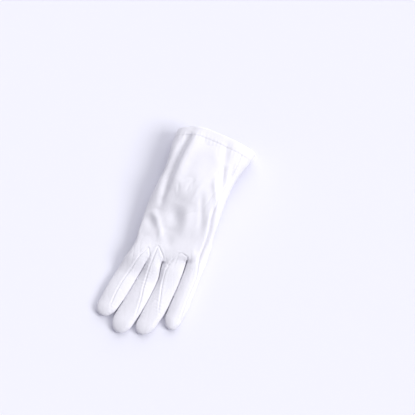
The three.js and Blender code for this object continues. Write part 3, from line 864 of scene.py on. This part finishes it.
def unroll(points, edges, start, rounds):
    """Distance across the cloth at each point, so that each edge keeps its length across the glove."""
    across = np.cross([0.0, 1.0, 0.0], point_normals(points, triangles))
    across /= np.maximum(np.linalg.norm(across, axis=1), 0.3)[:, None]
    a, b = edges.T
    length = ((points[b] - points[a]) * (across[a] + across[b]) / 2).sum(axis=1)
    count = len(points)
    residual = np.bincount(b, length - (start[b] - start[a]), count)
    residual -= np.bincount(a, length - (start[b] - start[a]), count)
    found, step = start.copy(), residual.copy()
    size = residual @ residual
    for _ in range(rounds):
        change = step[b] - step[a]
        pull = np.bincount(b, change, count) - np.bincount(a, change, count)
        share = size / max(step @ pull, 1e-12)
        found += share * step
        residual -= share * pull
        before, size = size, residual @ residual
        step = residual + step * (size / before)
    return found


x, y, z = rest.T
middle_line = np.stack([section(name, y)["x"] for name in FINGERS])[nearest, np.arange(len(y))]
middle_line = mix(middle_line, PALM_LINE, ramp(-30, -5, y - station_y(FRONT_Y, x) + 15))
under = point_normals(rest, triangles)[:, 2] < -0.3
a, b = edges.T
crosses = (under[a] | under[b]) & ((x[a] - middle_line[a]) * (x[b] - middle_line[b]) <= 0)
across = unroll(rest, edges[~crosses], x.copy(), UNROLL_ROUNDS)
cloth_uv = np.stack([across, y], axis=1) * MM
print("cloth is", round(float(np.ptp(across))), "mm across")


# %% Cut the skin into its pieces
THICK, STRIP_THICK = {"palm_panel": 0.95, "back_panel": 0.95, "thumb": 0.95, "cuff_hem": 1.7}, 0.9
CENTRE_SHIFT = np.array([0.18, 0.50, 0.0])  # from the tables' origin to the middle of the footprint
INNER_LIFT = 0.06  # how much higher the cloth's inner face stays above the floor
MAP_JUMP = 0.05  # a triangle this wide on the map lies across the line where the map is cut open


def keep_above_floor(mesh, outer_points):
    """Lifts points to the floor, and those of the cloth's inner face a little higher."""
    places = np.empty(len(mesh.vertices) * 3)
    mesh.vertices.foreach_get("co", places)
    least = np.where(np.arange(len(mesh.vertices)) < outer_points, LOWEST, LOWEST + INNER_LIFT)
    places[2::3] = np.maximum(places[2::3], least * MM)
    mesh.vertices.foreach_set("co", places)
    mesh.update()


def sharpen_border(mesh, faces):
    """Marks the cut edges as sharp, so that their rims don't shade the cloth beside them."""
    pairs = sides_of(faces)
    keys, count = np.unique(pairs[:, 0] * len(mesh.vertices) + pairs[:, 1], return_counts=True)
    ends = np.empty(len(mesh.edges) * 2, dtype=np.int64)
    mesh.edges.foreach_get("vertices", ends)
    ends = np.sort(ends.reshape(-1, 2), axis=1)
    single = np.isin(ends[:, 0] * len(mesh.vertices) + ends[:, 1], keys[count == 1])
    mesh.edges.foreach_set("use_edge_sharp", single)


def piece_of_cloth(name, index):
    """One piece of the skin as an object with the cloth's thickness."""
    faces = triangles[(label == index) & ~sliver]
    used, renumbered = np.unique(faces, return_inverse=True)
    renumbered = renumbered.reshape(-1, 3)
    mesh = bpy.data.meshes.new(name)
    mesh.from_pydata(((cloth[used] + CENTRE_SHIFT) * MM).tolist(), [], renumbered.tolist())
    mesh.shade_smooth()
    sharpen_border(mesh, renumbered)
    uv = mesh.uv_layers.new(name="cloth")
    corner_uv = cloth_uv[used][renumbered.ravel()].reshape(-1, 3, 2)
    split = np.ptp(corner_uv[:, :, 0], axis=1) > MAP_JUMP
    corner_uv[split, :, 0] = corner_uv[split][:, :1, 0]
    uv.data.foreach_set("uv", corner_uv.ravel())
    piece = add_object(name + "_cloth", mesh)
    wall = piece.modifiers.new("cloth thickness", "SOLIDIFY")
    wall.thickness = THICK.get(name, STRIP_THICK) * MM
    wall.offset = -1.0
    wall.use_rim = True
    thick = applied(piece)
    piece.modifiers.remove(wall)
    piece.data = thick
    keep_above_floor(thick, len(used))
    return piece


pieces = {name: piece_of_cloth(name, i) for i, name in enumerate(NAMES)}
for name, piece in pieces.items():
    print(name, len(piece.data.polygons), "triangles")

# %% [markdown]
# ## Stitches of the hem
# A row of short stitches holds the folded hem. They follow a line round the cuff, so Geometry Nodes lay
# them: the line is divided at an even spacing and each place gets one small thread, turned along the line.
# Change the spacing or the length and the whole row changes with it.

# %% The line that the stitches follow
STITCH_ROW, STITCH_SPACING, STITCH_LENGTH, STITCH_THICK = 1.5, 3.3, 2.5, 0.42
BAND_HALF = 0.9  # half width of the band of cloth whose middle gives the line
RING_POINTS = 240
CUFF_MIDDLE_X, CUFF_MIDDLE_Z = 1.0, 14.0

in_band = np.abs(borders["cuff_hem"] - STITCH_ROW) < BAND_HALF
around = np.arctan2(cloth[in_band, 2] - CUFF_MIDDLE_Z, cloth[in_band, 0] - CUFF_MIDDLE_X) + math.pi
places = np.minimum((around / (2 * math.pi) * RING_POINTS).astype(int), RING_POINTS - 1)
count = np.bincount(places, minlength=RING_POINTS)
filled = np.flatnonzero(count)
ring = np.stack([
    np.interp(
        np.arange(RING_POINTS), filled, np.bincount(places, column, RING_POINTS)[filled] / count[filled],
        period=RING_POINTS,
    )
    for column in (cloth + normals * 0.1)[in_band].T
], axis=1)
for _ in range(6):
    ring = (np.roll(ring, 1, axis=0) + ring * 2 + np.roll(ring, -1, axis=0)) / 4
stitch_line = bpy.data.meshes.new("stitch line")
stitch_line.from_pydata(
    ((ring + CENTRE_SHIFT) * MM).tolist(), [(i, (i + 1) % len(ring)) for i in range(len(ring))], [],
)
stitches = add_object("hem_stitches", stitch_line)
print("the row is", round(float(np.linalg.norm(ring - np.roll(ring, 1, axis=0), axis=1).sum())), "mm long")


# %% Stitches as a node tree
LEAN = 0.08  # how far a stitch leans from the line at most, in radians


def stitch_tree(thread):
    """Geometry Nodes that lay one thread at each even step of a line."""
    tree = bpy.data.node_groups.new("stitches along a line", "GeometryNodeTree")
    face, nodes, links = tree.interface, tree.nodes, tree.links
    face.new_socket("Line", in_out="INPUT", socket_type="NodeSocketGeometry")
    sizes = {"Spacing": STITCH_SPACING, "Length": STITCH_LENGTH, "Thickness": STITCH_THICK}
    for name, value in sizes.items():
        face.new_socket(name, in_out="INPUT", socket_type="NodeSocketFloat").default_value = value * MM
    face.new_socket("Lean", in_out="INPUT", socket_type="NodeSocketFloat").default_value = 0.06
    face.new_socket("Seed", in_out="INPUT", socket_type="NodeSocketInt").default_value = 4
    face.new_socket("Stitches", in_out="OUTPUT", socket_type="NodeSocketGeometry")
    given, result = put(nodes, "NodeGroupInput"), put(nodes, "NodeGroupOutput")

    curve = put(nodes, "GeometryNodeMeshToCurve")
    places = put(nodes, "GeometryNodeResampleCurve", mode="LENGTH")
    wire(
        links, (given, "Line", curve, "Mesh"), (curve, "Curve", places, "Curve"),
        (given, "Spacing", places, "Length"),
    )

    bead = put(nodes, "GeometryNodeMeshUVSphere", {"Segments": 8, "Rings": 6, "Radius": 0.5})
    size = put(nodes, "ShaderNodeCombineXYZ")
    wire(
        links, (given, "Length", size, "X"), (given, "Thickness", size, "Y"),
        (given, "Thickness", size, "Z"),
    )

    tangent = put(nodes, "GeometryNodeInputTangent")
    turned = put(nodes, "FunctionNodeAlignRotationToVector", axis="X")
    lean = put(nodes, "FunctionNodeRandomValue", data_type="FLOAT")
    lean_less = put(nodes, "ShaderNodeMath", {1: -1.0}, operation="MULTIPLY")
    lean_turn = put(nodes, "FunctionNodeAxisAngleToRotation", {"Axis": (0.0, 0.0, 1.0)})
    both = put(nodes, "FunctionNodeRotateRotation", rotation_space="LOCAL")
    wire(
        links, (tangent, "Tangent", turned, "Vector"), (given, "Lean", lean_less, 0),
        (lean_less, 0, lean, 2), (given, "Lean", lean, 3), (given, "Seed", lean, "Seed"),
        (lean, 1, lean_turn, "Angle"), (turned, "Rotation", both, "Rotation"),
        (lean_turn, "Rotation", both, "Rotate By"),
    )

    laid = put(nodes, "GeometryNodeInstanceOnPoints")
    wire(
        links, (places, "Curve", laid, "Points"), (bead, "Mesh", laid, "Instance"),
        (both, "Rotation", laid, "Rotation"), (size, "Vector", laid, "Scale"),
    )
    real = put(nodes, "GeometryNodeRealizeInstances")
    finish = put(nodes, "GeometryNodeSetMaterial")
    finish.inputs["Material"].default_value = thread
    wire(
        links, (laid, "Instances", real, "Geometry"), (real, "Geometry", finish, "Geometry"),
        (finish, "Geometry", result, "Stitches"),
    )
    return tree


# %% Cotton thread
thread_material, nodes, links, shader = new_material("white cotton thread")
twist = put(nodes, "ShaderNodeTexWave", {"Scale": 900.0, "Distortion": 1.5, "Detail": 2.0})
twist_place = put(nodes, "ShaderNodeTexCoord")
twist_bump = put(nodes, "ShaderNodeBump", {"Strength": 0.4, "Distance": 0.00008})
# Painted shade: the thread is darker in the grooves of its twist, where the bump is low
twist_groove_shade = put(nodes, "ShaderNodeValToRGB")
twist_groove_shade.color_ramp.elements[0].color = (0.80, 0.795, 0.85, 1.0)
twist_groove_shade.color_ramp.elements[1].color = (0.88, 0.875, 0.93, 1.0)
wire(
    links, (twist_place, "Object", twist, "Vector"), (twist, "Fac", twist_bump, "Height"),
    (twist_bump, "Normal", shader, "Normal"), (twist, "Fac", twist_groove_shade, "Fac"),
    (twist_groove_shade, "Color", shader, "Base Color"),
)
shader.inputs["Roughness"].default_value = 0.75

rule = stitches.modifiers.new("stitches", "NODES")
rule.node_group = stitch_tree(thread_material)
for socket in rule.node_group.interface.items_tree:
    if socket.in_out == "INPUT" and socket.name == "Lean":
        rule[socket.identifier] = LEAN
row = applied(stitches)
stitches.modifiers.remove(rule)
stitches.data = row
keep_above_floor(row, len(row.vertices))
row.shade_smooth()
print("stitches:", len(row.polygons), "faces")

# %% [markdown]
# ## Cotton jersey
# Jersey is knitted: its face shows columns of small V-shaped loops, about fourteen to the centimetre. Seen
# from arm's length they merge into a matt, slightly fuzzy white. A node group turns the cloth's UV map
# into the height of the loops, adds the soft unevenness of washed cotton, and paints shade between the
# loops by darkening the colour where they lie low.

# %% Knit as a node group
WALE, COURSE = 0.00074, 0.00058  # width of a column and height of a row of loops, in metres


def knit_group():
    """Nodes that give the knit's height, and its colour with painted shade between the loops, from the UV
    map.
    """
    group = bpy.data.node_groups.new("jersey knit", "ShaderNodeTree")
    face = group.interface
    face.new_socket("Wale Width", in_out="INPUT", socket_type="NodeSocketFloat").default_value = WALE
    face.new_socket("Course Height", in_out="INPUT", socket_type="NodeSocketFloat").default_value = COURSE
    face.new_socket("Color", in_out="INPUT", socket_type="NodeSocketColor")
    face.new_socket("Height", in_out="OUTPUT", socket_type="NodeSocketFloat")
    face.new_socket("Shade", in_out="OUTPUT", socket_type="NodeSocketColor")
    nodes, links = group.nodes, group.links
    given, result = put(nodes, "NodeGroupInput"), put(nodes, "NodeGroupOutput")
    uv = put(nodes, "ShaderNodeUVMap", uv_map="cloth")
    parts = put(nodes, "ShaderNodeSeparateXYZ")
    wire(links, (uv, "UV", parts, "Vector"))

    def maths(operation, first, second=None):
        """The result of a Math node whose inputs are numbers or other nodes' outputs."""
        node = put(nodes, "ShaderNodeMath", operation=operation)
        for slot, value in enumerate([first, second]):
            if value is None:
                continue
            if isinstance(value, (int, float)):
                node.inputs[slot].default_value = value
            else:
                links.new(value, node.inputs[slot])
        return node.outputs[0]

    def shade_by(value, low, high, darkest):
        """A factor from the darkest, where the value is low, to 1 where it is high."""
        span = {"From Min": low, "From Max": high, "To Min": darkest, "To Max": 1.0}
        node = put(nodes, "ShaderNodeMapRange", span)
        links.new(value, node.inputs["Value"])
        return node.outputs["Result"]

    wales = maths("DIVIDE", parts.outputs["X"], given.outputs["Wale Width"])
    courses = maths("DIVIDE", parts.outputs["Y"], given.outputs["Course Height"])
    side = maths("ABSOLUTE", maths("SUBTRACT", maths("FRACT", wales), 0.5))
    legs = maths("SINE", maths("MULTIPLY", side, 2 * math.pi))
    slanted = maths("ADD", courses, maths("MULTIPLY", side, 1.6))
    row_wave = maths("SINE", maths("MULTIPLY", slanted, 2 * math.pi))
    loops = maths("ADD", maths("MULTIPLY", row_wave, 0.5), 0.5)
    height = maths("MULTIPLY", legs, maths("ADD", maths("MULTIPLY", loops, 0.6), 0.4))

    place = put(nodes, "ShaderNodeTexCoord")
    fuzz = put(nodes, "ShaderNodeTexNoise", {"Scale": 2600.0, "Detail": 3.0})
    wire(links, (place, "Object", fuzz, "Vector"))
    height = maths("ADD", height, maths("MULTIPLY", fuzz.outputs["Fac"], 0.5))
    links.new(height, result.inputs["Height"])

    wash = put(nodes, "ShaderNodeTexNoise", {"Scale": 28.0, "Detail": 3.0, "Roughness": 0.55})
    wire(links, (place, "Object", wash, "Vector"))
    tone = shade_by(wash.outputs["Fac"], 0.3, 0.7, 0.965)
    # Painted shade: the colour darkens where the loops lie low, between them
    depth = shade_by(height, 0.1, 1.1, 0.93)
    tint = put(nodes, "ShaderNodeVectorMath", operation="SCALE")
    wire(links, (given, "Color", tint, 0))
    links.new(maths("MULTIPLY", tone, depth), tint.inputs["Scale"])
    wire(links, (tint, "Vector", result, "Shade"))
    return group


knit = knit_group()
print("loops to the centimetre:", round(0.01 / WALE, 1), "across and", round(0.01 / COURSE, 1), "along")


def cotton(name, color, wale=WALE, course=COURSE, bump=0.5):
    """A matt cotton jersey with its own loop size."""
    material, nodes, links, shader = new_material(name)
    loops = put(nodes, "ShaderNodeGroup", node_tree=knit)
    loops.inputs["Wale Width"].default_value = wale
    loops.inputs["Course Height"].default_value = course
    loops.inputs["Color"].default_value = (*color, 1.0)
    relief = put(nodes, "ShaderNodeBump", {"Strength": bump, "Distance": 0.00025})
    wire(
        links, (loops, "Height", relief, "Height"), (relief, "Normal", shader, "Normal"),
        (loops, "Shade", shader, "Base Color"),
    )
    shader.inputs["Roughness"].default_value = 0.95
    shader.inputs["Specular IOR Level"].default_value = 0.2
    shader.inputs["Sheen Weight"].default_value = 0.25
    shader.inputs["Sheen Roughness"].default_value = 0.6
    return material


jersey = cotton("cotton jersey", (0.862, 0.855, 0.915))
# Painted highlight: the strips' cotton is a little lighter than the rest, as they catch the light; their
# loops run across the grain
lit_strip_jersey = cotton("cotton jersey across the grain with painted highlight", (0.868, 0.862, 0.92), wale=0.0007, course=0.00062)
hem_jersey = cotton("cotton jersey hem", (0.862, 0.855, 0.915), bump=0.4)
SLOTS = {"cuff_hem": ("hem", hem_jersey)}
for name in STRIPS:
    SLOTS[name] = ("finger_strip", lit_strip_jersey)
for name, piece in pieces.items():
    slot, material = SLOTS.get(name, ("jersey", jersey))
    piece.data.materials.append(material)
    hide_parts(name)
    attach(piece, "root")

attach(stitches, "root")
